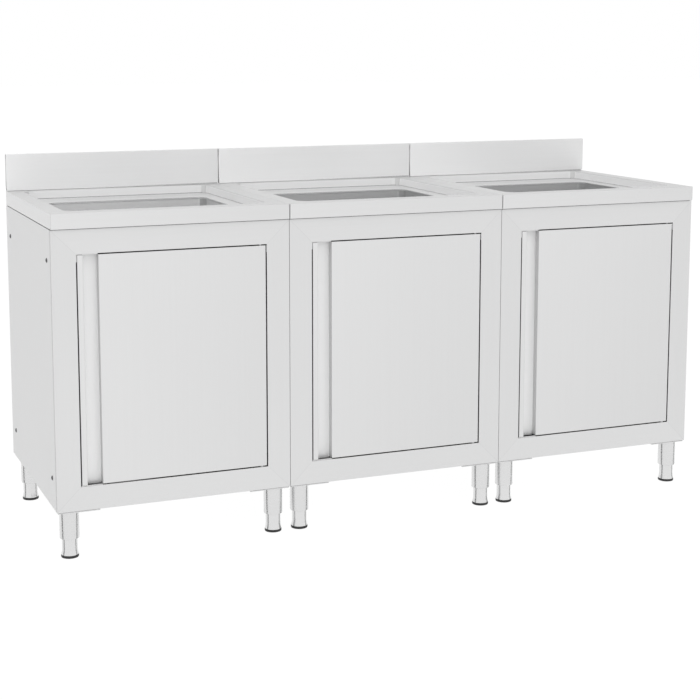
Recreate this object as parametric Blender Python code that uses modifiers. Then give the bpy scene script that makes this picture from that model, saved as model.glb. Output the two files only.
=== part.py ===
"""Three free-standing stainless sink cabinets, standing side by side as one three compartment sink.

Every cabinet is the same assembly of folded sheet: a worktop with a shallow recess and a pressed
collar, a welded bowl with its drain, a backsplash, side, back and floor panels, a mitred front
frame, one flush door on two hinge pins, and four tube legs with adjustable feet.

Metres, +Z up. The fronts face -Y, the floor is Z = 0, and the origin is at the centre of the footprint.
"""

import math

import bmesh
import bpy
from mathutils import Vector

# ---- Driving dimensions ------------------------------------------------------------------------
UNIT_COUNT = 3
UNIT_WIDTH = 0.600
UNIT_DEPTH = 0.600
WORKTOP_HEIGHT = 0.850
BACKSPLASH_HEIGHT = 0.100

SHEET = 0.0012  # folded stainless sheet
FIT = 0.0003  # clearance between pieces that touch on the real object
UNIT_SEAM = 0.0012  # gap between neighbouring cabinets

FRONT_OVERHANG = 0.006  # worktop in front of the door and the frame
WORKTOP_BAND = 0.0384  # folded edge of the worktop
WORKTOP_LIP = 0.015  # edge's return, under the worktop
EDGE_RADIUS = 0.0015
RECESS_SIDE_RIM = 0.042
RECESS_FRONT_RIM = 0.045
RECESS_BACK_RIM = 0.027
RECESS_DEPTH = 0.022
RECESS_DRAFT = 0.003
RECESS_CORNER = 0.030

BOWL_WIDTH = 0.430
BOWL_LENGTH = 0.380
BOWL_DEPTH = 0.250
BOWL_BACK_MARGIN = 0.150  # from the back of the worktop to the clear bowl
BOWL_CORNER = 0.022
BOWL_FLOOR_RADIUS = 0.030
BOWL_TAPER = 0.004
BOWL_FALL = 0.006  # slope of the bowl's floor to the drain
COLLAR_RADIUS = 0.0015
COLLAR_HEIGHT = 0.003
CORNER_SEGMENTS = 4

DRAIN_HOLE_RADIUS = 0.030
DRAIN_FLANGE_RADIUS = 0.042
DRAIN_TAIL_LENGTH = 0.070

BACKSPLASH_THICKNESS = 0.012
BACKSPLASH_SEAM = 0.002
BACKSPLASH_JOINT = 0.0008

LEG_HEIGHT = 0.122  # from the floor to the underside of the cabinet
CABINET_HEIGHT = 0.688
FRAME_STILE = 0.060
FRAME_RAIL = 0.059
FRAME_RETURN = 0.025
STOP_DROP = 0.020  # door stop that hangs behind the top of the opening
PANEL_FLANGE = 0.025
PANEL_GAP = 0.0012  # between a side panel and the front frame's face
FLOOR_PANEL_HEIGHT = 0.040
SERVICE_HOLE_WIDTH = 0.160
SERVICE_HOLE_HEIGHT = 0.120
SERVICE_HOLE_BOTTOM = 0.350

DOOR_GAP = 0.003
DOOR_THICKNESS = 0.0212
GRIP_LIP = 0.014
GRIP_WIDTH = 0.0375
GRIP_DEPTH = 0.020
HINGE_INSET = 0.012  # hinge axis from the door's edge
HINGE_SETBACK = 0.008  # hinge axis from the door's face
PIN_RADIUS = 0.004

LEG_RADIUS = 0.024
LEG_WALL = 0.0015
LEG_BOTTOM = 0.048
LEG_SIDE_INSET = 0.036
LEG_FRONT_INSET = 0.034
LEG_BACK_INSET = 0.049
PLATE_SIZE = 0.104
PLATE_THICKNESS = 0.004
PLUG_THICKNESS = 0.006
FOOT_RADIUS = 0.019
FOOT_RING_RADIUS = 0.0217
FOOT_RING_HEIGHT = 0.008
STEM_RADIUS = 0.007
STEM_LENGTH = 0.050
TURNED_STEPS = 20

# ---- Derived levels ----------------------------------------------------------------------------
FRONT = -UNIT_DEPTH / 2 + FRONT_OVERHANG  # front face of the frames and the doors
BACK = UNIT_DEPTH / 2
CABINET_TOP = LEG_HEIGHT + CABINET_HEIGHT
RECESS_FLOOR = WORKTOP_HEIGHT - RECESS_DEPTH
COLLAR_BOTTOM = RECESS_FLOOR - COLLAR_RADIUS - COLLAR_HEIGHT
OPENING_BOTTOM = LEG_HEIGHT + FRAME_RAIL
OPENING_TOP = CABINET_TOP - FRAME_RAIL
DOOR_BOTTOM = OPENING_BOTTOM + DOOR_GAP
DOOR_TOP = OPENING_TOP - DOOR_GAP
BOWL_CENTRE_Y = BACK - BOWL_BACK_MARGIN - BOWL_LENGTH / 2
BOWL_FLOOR = RECESS_FLOOR - BOWL_DEPTH
PAST = 0.010  # how far a cutter runs past the sheet that it cuts


# ---- Scene, materials and small helpers --------------------------------------------------------
def clear_scene():
    for obj in list(bpy.data.objects):
        bpy.data.objects.remove(obj, do_unlink=True)


def make_collection(name, hidden):
    collection = bpy.data.collections.new(name)
    collection.hide_render = hidden
    bpy.context.scene.collection.children.link(collection)
    return collection


def make_material(name, colour, roughness, metallic):
    material = bpy.data.materials.new(name)
    material.use_nodes = True
    shader = material.node_tree.nodes["Principled BSDF"]
    shader.inputs["Base Color"].default_value = (*colour, 1.0)
    shader.inputs["Roughness"].default_value = roughness
    shader.inputs["Metallic"].default_value = metallic
    return material


def add_object(name, mesh, collection, material=None, parent=None):
    obj = bpy.data.objects.new(name, mesh)
    collection.objects.link(obj)
    if material:
        mesh.materials.append(material)
    if parent:
        obj.parent = parent
    return obj


def mesh_from(bm, name):
    mesh = bpy.data.meshes.new(name)
    bm.to_mesh(mesh)
    bm.free()
    return mesh


def box_mesh(name, low, high):
    """A box between two corners, in its parent's coordinates."""
    low, high = Vector(low), Vector(high)
    bm = bmesh.new()
    bmesh.ops.create_cube(bm, size=1.0)
    bmesh.ops.scale(bm, vec=high - low, verts=bm.verts)
    bmesh.ops.translate(bm, vec=(low + high) / 2, verts=bm.verts)
    return mesh_from(bm, name)


def add_boolean(obj, other, operation):
    modifier = obj.modifiers.new(f"{operation.lower()}_{other.name}", "BOOLEAN")
    modifier.operation = operation
    modifier.solver = "EXACT"
    modifier.object = other


def hide_helper(obj):
    obj.hide_render = True
    obj.display_type = "WIRE"


def cut_box(obj, name, low, high):
    """Cuts a box out of a piece, with both in the same parent's coordinates."""
    cutter = add_object(f"{obj.name}_{name}", box_mesh(name, low, high), CUTTERS, parent=obj.parent)
    hide_helper(cutter)
    add_boolean(obj, cutter, "DIFFERENCE")


def cut_cylinder(obj, name, centre, radius, length):
    bm = bmesh.new()
    bmesh.ops.create_cone(
        bm, cap_ends=True, segments=16, radius1=radius, radius2=radius, depth=length
    )
    bmesh.ops.translate(bm, vec=centre, verts=bm.verts)
    cutter = add_object(f"{obj.name}_{name}", mesh_from(bm, name), CUTTERS, parent=obj.parent)
    hide_helper(cutter)
    add_boolean(obj, cutter, "DIFFERENCE")


def smooth(obj, angle=35):
    """Smooth shading that keeps the edges sharper than this angle."""
    for polygon in obj.data.polygons:
        polygon.use_smooth = True
    modifier = obj.modifiers.new("weighted_normals", "WEIGHTED_NORMAL")
    modifier.keep_sharp = True
    obj.data.set_sharp_from_angle(angle=math.radians(angle))


def turned(name, profile, location, material, parent, steps=TURNED_STEPS):
    """A turned piece about a vertical axis: its (radius, height) outline with a Screw modifier."""
    closed = profile[0][0] > 0
    mesh = bpy.data.meshes.new(name)
    points = [(radius, 0.0, height) for radius, height in profile]
    edges = [(i, i + 1) for i in range(len(points) - 1)]
    if closed:
        edges.append((len(points) - 1, 0))
    mesh.from_pydata(points, edges, [])
    obj = add_object(name, mesh, PARTS, material, parent)
    obj.location = location
    screw = obj.modifiers.new("turn", "SCREW")
    screw.steps = screw.render_steps = steps
    screw.use_merge_vertices = True
    screw.merge_threshold = 0.00001
    screw.use_smooth_shade = True
    return obj


# ---- Shells lofted through rounded rectangles --------------------------------------------------
def rounded_ring(centre, width, length, radius, height):
    """The points of a rounded rectangle, anticlockwise, with the same number for any radius."""
    points = []
    for corner in range(4):
        start = corner * math.pi / 2
        sign_x = 1 if corner in (0, 3) else -1
        sign_y = 1 if corner in (0, 1) else -1
        arc_x = centre[0] + sign_x * (width / 2 - radius)
        arc_y = centre[1] + sign_y * (length / 2 - radius)
        for step in range(CORNER_SEGMENTS + 1):
            angle = start + step * math.pi / 2 / CORNER_SEGMENTS
            points.append(
                (arc_x + radius * math.cos(angle), arc_y + radius * math.sin(angle), height)
            )
    return points


def lofted_shell(name, rings, thickness, material, parent):
    """An open surface through closed rings, outermost first, made solid on its hidden side."""
    bm = bmesh.new()
    loops = [[bm.verts.new(point) for point in ring] for ring in rings]
    for outer, inner in zip(loops, loops[1:]):
        for i in range(len(outer)):
            bm.faces.new((outer[i - 1], outer[i], inner[i], inner[i - 1]))
    obj = add_object(name, mesh_from(bm, name), PARTS, material, parent)
    solidify = obj.modifiers.new("sheet", "SOLIDIFY")
    solidify.thickness = thickness
    solidify.offset = -1.0
    solidify.use_even_offset = True
    smooth(obj)
    return obj


def arc(radius, steps, first=0, last=90):
    """(cosine, sine) offsets along an arc, in degrees."""
    for step in range(steps + 1):
        angle = math.radians(first + (last - first) * step / steps)
        yield radius * math.cos(angle), radius * math.sin(angle)


# ---- Worktop, bowl and drain -------------------------------------------------------------------
def make_worktop(unit, parent):
    width = UNIT_WIDTH - UNIT_SEAM
    middle = (0.0, 0.0)
    band_bottom = WORKTOP_HEIGHT - WORKTOP_BAND

    def outline(inset, height):
        return rounded_ring(
            middle, width - 2 * inset, UNIT_DEPTH - 2 * inset, 2 * EDGE_RADIUS, height
        )

    rings = [outline(WORKTOP_LIP, band_bottom), outline(0.0, band_bottom)]
    for across, up in arc(EDGE_RADIUS, 2):
        rings.append(outline(EDGE_RADIUS - across, WORKTOP_HEIGHT - EDGE_RADIUS + up))

    recess_width = UNIT_WIDTH - 2 * RECESS_SIDE_RIM
    recess_length = UNIT_DEPTH - RECESS_FRONT_RIM - RECESS_BACK_RIM
    recess_middle = (0.0, (RECESS_FRONT_RIM - RECESS_BACK_RIM) / 2)
    for draft, height in ((0.0, WORKTOP_HEIGHT), (RECESS_DRAFT, RECESS_FLOOR)):
        rings.append(
            rounded_ring(
                recess_middle,
                recess_width - 2 * draft,
                recess_length - 2 * draft,
                RECESS_CORNER - draft,
                height,
            )
        )

    bowl_middle = (0.0, BOWL_CENTRE_Y)
    for across, up in arc(COLLAR_RADIUS, 2, first=90, last=0):
        flare = COLLAR_RADIUS - across
        rings.append(
            rounded_ring(
                bowl_middle,
                BOWL_WIDTH + 2 * flare,
                BOWL_LENGTH + 2 * flare,
                BOWL_CORNER + flare,
                RECESS_FLOOR - COLLAR_RADIUS + up,
            )
        )
    rings.append(
        rounded_ring(bowl_middle, BOWL_WIDTH, BOWL_LENGTH, BOWL_CORNER, COLLAR_BOTTOM)
    )
    return lofted_shell(f"{unit}_worktop", rings, SHEET, STEEL, parent)


def make_bowl(unit, parent):
    middle = (0.0, BOWL_CENTRE_Y)

    def outline(inset, height):
        return rounded_ring(
            middle, BOWL_WIDTH - 2 * inset, BOWL_LENGTH - 2 * inset, BOWL_CORNER, height
        )

    rings = [outline(0.0, COLLAR_BOTTOM - FIT)]
    for across, down in arc(BOWL_FLOOR_RADIUS, 4):
        inset = BOWL_TAPER + BOWL_FLOOR_RADIUS - across
        rings.append(outline(inset, BOWL_FLOOR + BOWL_FLOOR_RADIUS - down))
    seat = BOWL_FLOOR - BOWL_FALL
    for radius in (DRAIN_FLANGE_RADIUS + 0.004, DRAIN_HOLE_RADIUS):
        rings.append(rounded_ring(middle, 2 * radius, 2 * radius, radius, seat))
    return lofted_shell(f"{unit}_bowl", rings, SHEET, STEEL, parent)


def make_drain(unit, parent):
    """Strainer body: a flange on the bowl's seat, a cup, and a tail for the waste pipe."""
    seat = FIT
    neck = DRAIN_HOLE_RADIUS - 0.0015
    wall = 0.002
    profile = [
        (neck - wall, seat + 0.0005),
        (DRAIN_FLANGE_RADIUS - 0.003, seat + 0.0020),
        (DRAIN_FLANGE_RADIUS, seat + 0.0012),
        (DRAIN_FLANGE_RADIUS, seat),
        (neck, seat),
        (neck, -DRAIN_TAIL_LENGTH),
        (neck - wall, -DRAIN_TAIL_LENGTH),
    ]
    location = (0.0, BOWL_CENTRE_Y, BOWL_FLOOR - BOWL_FALL)
    return turned(f"{unit}_drain", profile, location, DRAIN_STEEL, parent)


def make_backsplash(unit, parent):
    half = (UNIT_WIDTH - BACKSPLASH_SEAM) / 2
    front = BACK - BACKSPLASH_THICKNESS
    bottom = WORKTOP_HEIGHT + BACKSPLASH_JOINT
    top = WORKTOP_HEIGHT + BACKSPLASH_HEIGHT
    obj = add_object(
        f"{unit}_backsplash",
        box_mesh("backsplash", (-half, front, bottom), (half, BACK, top)),
        PARTS,
        STEEL,
        parent,
    )
    cut_box(
        obj,
        "hollow",
        (-half + SHEET, front + SHEET, bottom - PAST),
        (half - SHEET, BACK - SHEET, top - SHEET),
    )
    return obj


# ---- Cabinet -----------------------------------------------------------------------------------
def make_side_panel(unit, side, parent):
    """side is -1 for the left panel and 1 for the right one."""
    outside = UNIT_WIDTH / 2 - UNIT_SEAM / 2
    inside = outside - PANEL_FLANGE
    name = f"{unit}_{'left' if side < 0 else 'right'}_panel"

    def span(near, far):
        return sorted((side * near, side * far))

    low_x, high_x = span(inside, outside)
    obj = add_object(
        name,
        box_mesh(
            "panel",
            (low_x, FRONT + SHEET + PANEL_GAP, LEG_HEIGHT),
            (high_x, BACK, CABINET_TOP),
        ),
        PARTS,
        STEEL,
        parent,
    )
    low_x, high_x = span(inside - PAST, outside - SHEET)
    cut_box(
        obj,
        "hollow",
        (low_x, FRONT - PAST, LEG_HEIGHT + SHEET),
        (high_x, BACK - SHEET, CABINET_TOP - SHEET),
    )
    cut_box(
        obj,
        "frame_relief",
        (low_x, FRONT - PAST, LEG_HEIGHT - PAST),
        (high_x, FRONT + FRAME_RETURN + 2 * FIT, CABINET_TOP + PAST),
    )
    return obj


def make_back_panel(unit, parent):
    half = UNIT_WIDTH / 2 - UNIT_SEAM / 2 - SHEET - FIT
    back = BACK - SHEET - FIT
    low_z = LEG_HEIGHT + SHEET + FIT
    high_z = CABINET_TOP - SHEET - FIT
    obj = add_object(
        f"{unit}_back_panel",
        box_mesh("back_panel", (-half, back - SHEET, low_z), (half, back, high_z)),
        PARTS,
        STEEL,
        parent,
    )
    cut_box(
        obj,
        "service_hole",
        (-SERVICE_HOLE_WIDTH / 2, back - PAST, SERVICE_HOLE_BOTTOM),
        (SERVICE_HOLE_WIDTH / 2, back + PAST, SERVICE_HOLE_BOTTOM + SERVICE_HOLE_HEIGHT),
    )
    return obj


def make_floor_panel(unit, parent):
    """The cabinet's floor, a tray turned upside down on the side panels' flanges."""
    half = UNIT_WIDTH / 2 - UNIT_SEAM / 2 - SHEET - FIT
    front = FRONT + FRAME_RETURN + 2 * FIT
    back = BACK - 2 * SHEET - 2 * FIT
    low_z = LEG_HEIGHT + SHEET + FIT
    high_z = low_z + FLOOR_PANEL_HEIGHT
    obj = add_object(
        f"{unit}_floor_panel",
        box_mesh("floor_panel", (-half, front, low_z), (half, back, high_z)),
        PARTS,
        STEEL,
        parent,
    )
    cut_box(
        obj,
        "hollow",
        (-half + SHEET, front + SHEET, low_z - PAST),
        (half - SHEET, back - SHEET, high_z - SHEET),
    )
    return obj


def make_front_frame(unit, parent):
    """Two stiles and two rails, mitred and welded, with folded returns and the door stop."""
    half = UNIT_WIDTH / 2 - UNIT_SEAM / 2
    opening = UNIT_WIDTH / 2 - FRAME_STILE
    inner_half = half - SHEET - FIT  # the returns sit inside the side panels
    back = FRONT + FRAME_RETURN
    obj = add_object(
        f"{unit}_front_frame",
        box_mesh("frame", (-half, FRONT, LEG_HEIGHT), (half, back, CABINET_TOP)),
        PARTS,
        STEEL,
        parent,
    )
    for side in (-1, 1):
        low_x, high_x = sorted((side * inner_half, side * (half + PAST)))
        cut_box(
            obj,
            f"panel_relief_{side}",
            (low_x, FRONT + SHEET, LEG_HEIGHT - PAST),
            (high_x, back + PAST, CABINET_TOP + PAST),
        )
    stop_front = FRONT + DOOR_THICKNESS + FIT
    cut_box(
        obj,
        "opening",
        (-opening, FRONT - PAST, OPENING_BOTTOM),
        (opening, back + PAST, OPENING_TOP - STOP_DROP),
    )
    cut_box(
        obj,
        "opening_top",
        (-opening, FRONT - PAST, OPENING_BOTTOM + STOP_DROP),
        (opening, stop_front, OPENING_TOP),
    )
    hinge_x = UNIT_WIDTH / 2 - FRAME_STILE - DOOR_GAP - HINGE_INSET
    cut_box(
        obj,
        "hinge_corner",
        (hinge_x - 2 * HINGE_INSET, stop_front - PAST, OPENING_TOP - 2 * STOP_DROP),
        (opening, back + PAST, OPENING_TOP),
    )
    cavity_front = FRONT + SHEET
    left_face, right_face = -inner_half + SHEET, inner_half - SHEET
    low_face, high_face = LEG_HEIGHT + SHEET, CABINET_TOP - SHEET
    cavities = {
        "left_stile": ((left_face, low_face), (-opening - SHEET, high_face)),
        "right_stile": ((opening + SHEET, low_face), (right_face, high_face)),
        "hinge_side": ((opening - PAST, OPENING_BOTTOM), (right_face, OPENING_TOP - STOP_DROP)),
        "bottom_rail": ((left_face, low_face), (right_face, OPENING_BOTTOM - SHEET)),
        "top_rail": ((left_face, OPENING_TOP + SHEET), (right_face, high_face)),
    }
    # The bottom rail's upper edge has no return, apart from the tab that holds the lower pin.
    cavities["bottom_edge"] = (
        (-opening, OPENING_BOTTOM - 2 * SHEET),
        (hinge_x - 2 * HINGE_INSET, OPENING_BOTTOM + SHEET),
    )
    for name, ((low_x, low_z), (high_x, high_z)) in cavities.items():
        cut_box(obj, name, (low_x, cavity_front, low_z), (high_x, back + PAST, high_z))
    cut_box(
        obj,
        "behind_stop",
        (-opening, stop_front + SHEET, OPENING_BOTTOM),
        (opening, back + PAST, OPENING_TOP),
    )
    for name, height in (("upper_pin", OPENING_TOP), ("lower_pin", OPENING_BOTTOM)):
        cut_cylinder(
            obj, name, (hinge_x, FRONT + HINGE_SETBACK, height), PIN_RADIUS + FIT, 2 * PAST
        )
    return obj


# ---- Door and its hinge pins -------------------------------------------------------------------
def door_parent(unit, unit_parent):
    """An empty on the hinge axis, which the door turns about."""
    axis = bpy.data.objects.new(f"{unit}_door_hinge", None)
    PARTS.objects.link(axis)
    axis.parent = unit_parent
    axis.location = (
        UNIT_WIDTH / 2 - FRAME_STILE - DOOR_GAP - HINGE_INSET,
        FRONT + HINGE_SETBACK,
        DOOR_BOTTOM,
    )
    return axis


def make_door(unit, axis):
    """A folded pan with a full-height finger channel along the edge away from the hinges."""
    right = HINGE_INSET
    left = right - (UNIT_WIDTH - 2 * FRAME_STILE - 2 * DOOR_GAP)
    front = -HINGE_SETBACK
    back = front + DOOR_THICKNESS
    height = DOOR_TOP - DOOR_BOTTOM
    obj = add_object(
        f"{unit}_door",
        box_mesh("door", (left, front, 0.0), (right, back, height)),
        PARTS,
        STEEL,
        axis,
    )
    channel_left = left + GRIP_LIP
    channel_right = channel_left + GRIP_WIDTH
    cut_box(
        obj,
        "grip_channel",
        (channel_left, front - PAST, -PAST),
        (channel_right, front + GRIP_DEPTH, height + PAST),
    )
    for name, low_x, high_x in (
        ("lip_hollow", left + SHEET, channel_left - SHEET),
        ("pan_hollow", channel_right + SHEET, right - SHEET),
    ):
        cut_box(
            obj, name, (low_x, front + SHEET, SHEET), (high_x, back + PAST, height - SHEET)
        )
    for name, level in (("lower_pin", 0.0), ("upper_pin", height)):
        cut_cylinder(obj, name, (0.0, 0.0, level), PIN_RADIUS + FIT, PAST)
    return obj


def make_hinge_pins(unit, parent):
    """Pins through the rails' returns: a head behind the rail, and a thrust collar under the door."""
    hinge = (UNIT_WIDTH / 2 - FRAME_STILE - DOOR_GAP - HINGE_INSET, FRONT + HINGE_SETBACK)
    head = 1.5 * PIN_RADIUS
    reach = DOOR_GAP + SHEET + 0.006
    upper = [
        (0.0, SHEET + FIT + 0.002),
        (head, SHEET + FIT + 0.002),
        (head, SHEET + FIT),
        (PIN_RADIUS, SHEET + FIT),
        (PIN_RADIUS, -reach),
        (0.0, -reach),
    ]
    turned(f"{unit}_upper_hinge_pin", upper, (*hinge, OPENING_TOP), PIN_STEEL, parent, 16)
    lower = [
        (0.0, reach),
        (PIN_RADIUS, reach),
        (PIN_RADIUS, DOOR_GAP - FIT),
        (head, DOOR_GAP - FIT),
        (head, FIT),
        (PIN_RADIUS, FIT),
        (PIN_RADIUS, -SHEET - 0.004),
        (0.0, -SHEET - 0.004),
    ]
    turned(f"{unit}_lower_hinge_pin", lower, (*hinge, OPENING_BOTTOM), PIN_STEEL, parent, 16)


# ---- Legs and feet -----------------------------------------------------------------------------
def make_leg(unit, corner, side, row, centre, parent):
    """A tube with a plug in its end, on a plate screwed under the cabinet's corner."""
    plate_bottom = LEG_HEIGHT - FIT - PLATE_THICKNESS
    profile = [
        (LEG_RADIUS, plate_bottom + PLATE_THICKNESS / 2),
        (LEG_RADIUS, LEG_BOTTOM),
        (STEM_RADIUS + FIT, LEG_BOTTOM),
        (STEM_RADIUS + FIT, LEG_BOTTOM + PLUG_THICKNESS),
        (LEG_RADIUS - LEG_WALL, LEG_BOTTOM + PLUG_THICKNESS),
        (LEG_RADIUS - LEG_WALL, plate_bottom + PLATE_THICKNESS / 2),
    ]
    leg = turned(f"{unit}_{corner}_leg", profile, (*centre, 0.0), STEEL, parent)
    outer_x = side * (UNIT_WIDTH / 2 - 0.003)
    outer_y = FRONT + 0.003 if row < 0 else BACK - 0.003
    xs = sorted((outer_x, outer_x - side * PLATE_SIZE))
    ys = sorted((outer_y, outer_y - row * PLATE_SIZE))
    offset = Vector((*centre, 0.0))
    plate = add_object(
        f"{leg.name}_plate",
        box_mesh(
            "plate",
            Vector((xs[0], ys[0], plate_bottom)) - offset,
            Vector((xs[1], ys[1], plate_bottom + PLATE_THICKNESS)) - offset,
        ),
        CUTTERS,
        parent=parent,
    )
    plate.location = leg.location
    hide_helper(plate)
    add_boolean(leg, plate, "UNION")


def make_foot(unit, corner, centre, parent):
    """The adjustable foot: a black ring on the floor, a steel body, and a stem inside the leg."""
    body_top = LEG_BOTTOM - FIT
    profile = [
        (0.0, body_top + STEM_LENGTH),
        (STEM_RADIUS, body_top + STEM_LENGTH),
        (STEM_RADIUS, body_top),
        (FOOT_RADIUS, body_top),
        (FOOT_RADIUS, FOOT_RING_HEIGHT + 0.005),
        (FOOT_RING_RADIUS, FOOT_RING_HEIGHT),
        (FOOT_RING_RADIUS, 0.0015),
        (FOOT_RING_RADIUS - 0.0015, 0.0),
        (0.0, 0.0),
    ]
    turned(f"{unit}_{corner}_foot", profile, (*centre, 0.0), FOOT_STEEL, parent)


def make_legs(unit, parent):
    for row, row_name, y in (
        (-1, "front", FRONT + LEG_FRONT_INSET),
        (1, "rear", BACK - LEG_BACK_INSET),
    ):
        for side, side_name in ((-1, "left"), (1, "right")):
            centre = (side * (UNIT_WIDTH / 2 - LEG_SIDE_INSET), y)
            corner = f"{row_name}_{side_name}"
            make_leg(unit, corner, side, row, centre, parent)
            make_foot(unit, corner, centre, parent)


# ---- Assembly ----------------------------------------------------------------------------------
def make_unit(number):
    unit = f"unit{number}"
    place = bpy.data.objects.new(unit, None)
    PARTS.objects.link(place)
    place.location.x = (number - (UNIT_COUNT + 1) / 2) * UNIT_WIDTH
    make_worktop(unit, place)
    make_bowl(unit, place)
    make_drain(unit, place)
    make_backsplash(unit, place)
    make_side_panel(unit, -1, place)
    make_side_panel(unit, 1, place)
    make_back_panel(unit, place)
    make_floor_panel(unit, place)
    make_front_frame(unit, place)
    make_door(unit, door_parent(unit, place))
    make_hinge_pins(unit, place)
    make_legs(unit, place)


clear_scene()
PARTS = make_collection("parts", hidden=False)
CUTTERS = make_collection("cutters", hidden=True)
STEEL = make_material("brushed_steel", (0.72, 0.72, 0.72), 0.35, 1.0)
DRAIN_STEEL = make_material("polished_steel", (0.78, 0.78, 0.78), 0.18, 1.0)
PIN_STEEL = make_material("plated_steel", (0.62, 0.62, 0.62), 0.30, 1.0)
FOOT_STEEL = make_material("foot_steel", (0.70, 0.70, 0.70), 0.32, 1.0)

for unit_number in range(1, UNIT_COUNT + 1):
    make_unit(unit_number)
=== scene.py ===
"""The looks of three stainless sink cabinets that stand side by side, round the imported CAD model.

Every cabinet has the same pieces, so each piece is made by one function that takes the cabinet's
name and reads the places of its CAD nodes. Metres, +Z up, fronts towards -Y, as in the CAD model.
"""

import math

import bmesh
import bpy
from mathutils import Matrix, Vector


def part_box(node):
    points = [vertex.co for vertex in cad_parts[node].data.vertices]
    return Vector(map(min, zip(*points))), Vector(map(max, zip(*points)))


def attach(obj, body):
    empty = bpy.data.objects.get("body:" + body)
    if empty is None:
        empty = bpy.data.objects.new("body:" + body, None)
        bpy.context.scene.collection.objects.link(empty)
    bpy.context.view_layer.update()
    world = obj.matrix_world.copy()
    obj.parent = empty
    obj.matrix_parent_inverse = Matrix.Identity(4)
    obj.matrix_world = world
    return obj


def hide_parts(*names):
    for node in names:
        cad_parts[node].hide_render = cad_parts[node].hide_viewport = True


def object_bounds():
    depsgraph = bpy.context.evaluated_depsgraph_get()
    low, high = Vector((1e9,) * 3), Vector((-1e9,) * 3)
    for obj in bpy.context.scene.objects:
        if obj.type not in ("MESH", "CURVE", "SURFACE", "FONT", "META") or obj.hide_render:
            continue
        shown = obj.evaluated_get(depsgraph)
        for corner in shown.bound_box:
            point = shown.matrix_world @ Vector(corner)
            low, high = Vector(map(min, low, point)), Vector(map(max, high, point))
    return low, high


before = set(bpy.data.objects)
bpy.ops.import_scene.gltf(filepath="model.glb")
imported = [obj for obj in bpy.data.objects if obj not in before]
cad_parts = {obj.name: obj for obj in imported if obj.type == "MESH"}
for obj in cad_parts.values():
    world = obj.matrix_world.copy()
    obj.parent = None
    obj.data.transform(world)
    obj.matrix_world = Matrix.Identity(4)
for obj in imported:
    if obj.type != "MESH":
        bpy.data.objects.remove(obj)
cad_low, cad_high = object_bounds()

# ---- Driving values ----------------------------------------------------------------------------
UNITS = ("unit1", "unit2", "unit3")
CORNERS = ("front_left", "front_right", "rear_left", "rear_right")
ROOT = "cabinets"
UNIT_PITCH = 0.600

SHEET = 0.0012
FIT = 0.0003
CORNER_STEPS = 12  # segments in a quarter turn of a pressed corner
BEND_STEPS = 5  # segments in a folded edge
TURNED_STEPS = 56

RIM_SIDE = 0.042  # worktop's rims round its recess
RIM_FRONT = 0.045
RIM_BACK = 0.027
RECESS_DEPTH = 0.022
RECESS_CORNER = 0.030
RECESS_DRAFT = 0.003
RECESS_EDGE = 0.0015  # radius of the fold at the recess's upper edge
FOOT_GROOVE = 0.0009  # width and depth of the pressed line at the recess's foot
WORKTOP_LIP = 0.015
FOLD = 0.0015  # outer radius of a folded edge
COLLAR_RADIUS = 0.0015
COLLAR_HEIGHT = 0.003
BOWL_CORNER = 0.022
BOWL_FLOOR_RADIUS = 0.030
BOWL_TAPER = 0.004
BOWL_FALL = 0.006
DRAIN_SEAT_RADIUS = 0.046
DRAIN_HOLE_RADIUS = 0.030

BACKSPLASH_LEFT_JOINT = 0.0002  # extra gap under the backsplash at its left end
BACKSPLASH_RIGHT_JOINT = 0.0024  # and at its right end, where it stands off the worktop

GRIP_LIP = 0.014
GRIP_WIDTH = 0.0375
CHANNEL_DROP = 0.0022  # how far the channel's floor reaches below the door's other edges
FRAME_STILE = 0.060
FRAME_RAIL = 0.059
TAB_HEIGHT = 0.020  # tabs that close the gap at the door's free corners
TAB_SETBACK = 0.0015
TAB_CLEARANCE = 0.0005  # between a tab and the door
LINER = 0.00025  # how far the liner at the top hinge corner stands off the stile
LINER_SETBACK = 0.0006
LINER_WIDTH = 0.0114
STIFFENER_MARGIN = 0.045  # from each end of the door
WELD_WIDTH = 0.0009
WELD_PROUD = 0.00008
WELD_STEPS = 24

LEG_RADIUS = 0.024
LEG_WALL = 0.0015
PLATE_THICKNESS = 0.004
PLATE_JOINT = 0.0009  # shadow line between a leg's plate and the cabinet
FOOT_BODY_RADIUS = 0.019
FOOT_RING_HEIGHT = 0.0068
STEM_RADIUS = 0.0066
THREAD_PITCH = 0.0015
THREAD_DEPTH = 0.0007
THREAD_STEPS = 20

PANEL_SCREW = (0.0060, 0.0030)  # radius and height of the head
PLATE_SCREW = (0.0042, 0.0022)
PANEL_SCREW_HEIGHTS = (0.198, 0.733)
PANEL_SCREW_DEPTHS = (-0.246, 0.244)

ANISOTROPY = 0.85  # how far the brushing spreads a highlight across the grain
SATIN = 0.6  # share of the light that the brushed sheet mirrors, where the rest is scattered
SCRATCHES = (18.0, 1500.0)  # features per metre along the grain and across it
BANDS = (1.6, 140.0)
RELIEF = 0.00002  # depth of the grain
STEEL = (0.735, 0.736, 0.737)
INNER_STEEL = (0.70, 0.702, 0.705)
# Painted light and shade: a tone for each cabinet, and for the backsplash its change across a
# cabinet's width.
BOWL_TONES = ((0.758, 0.759, 0.761), (0.588, 0.590, 0.593), (0.560, 0.562, 0.565))
BACKSPLASH_TONES = (
    ((0.930, 0.931, 0.932), -0.05),
    ((0.970, 0.971, 0.972), -0.08),
    ((0.935, 0.936, 0.937), -0.26),
)
# Painted shade: a strip along a side panel's front edge, as the shadow line at its seam.
SEAM_SHADE_WIDTH = 0.012
SEAM_SHADE_CHANGE = -0.17  # changes of tone
# Painted shade in the gaps round the door, on the frame's faces behind its front.
GAP_SHADE_CHANGE = -0.7
# Painted light: stiles and rails a little apart in tone, for the light that glances off their
# grains.
STILE_TONE = 0.982
RAIL_CHANGE = 0.010  # from the stiles' tone

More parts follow.
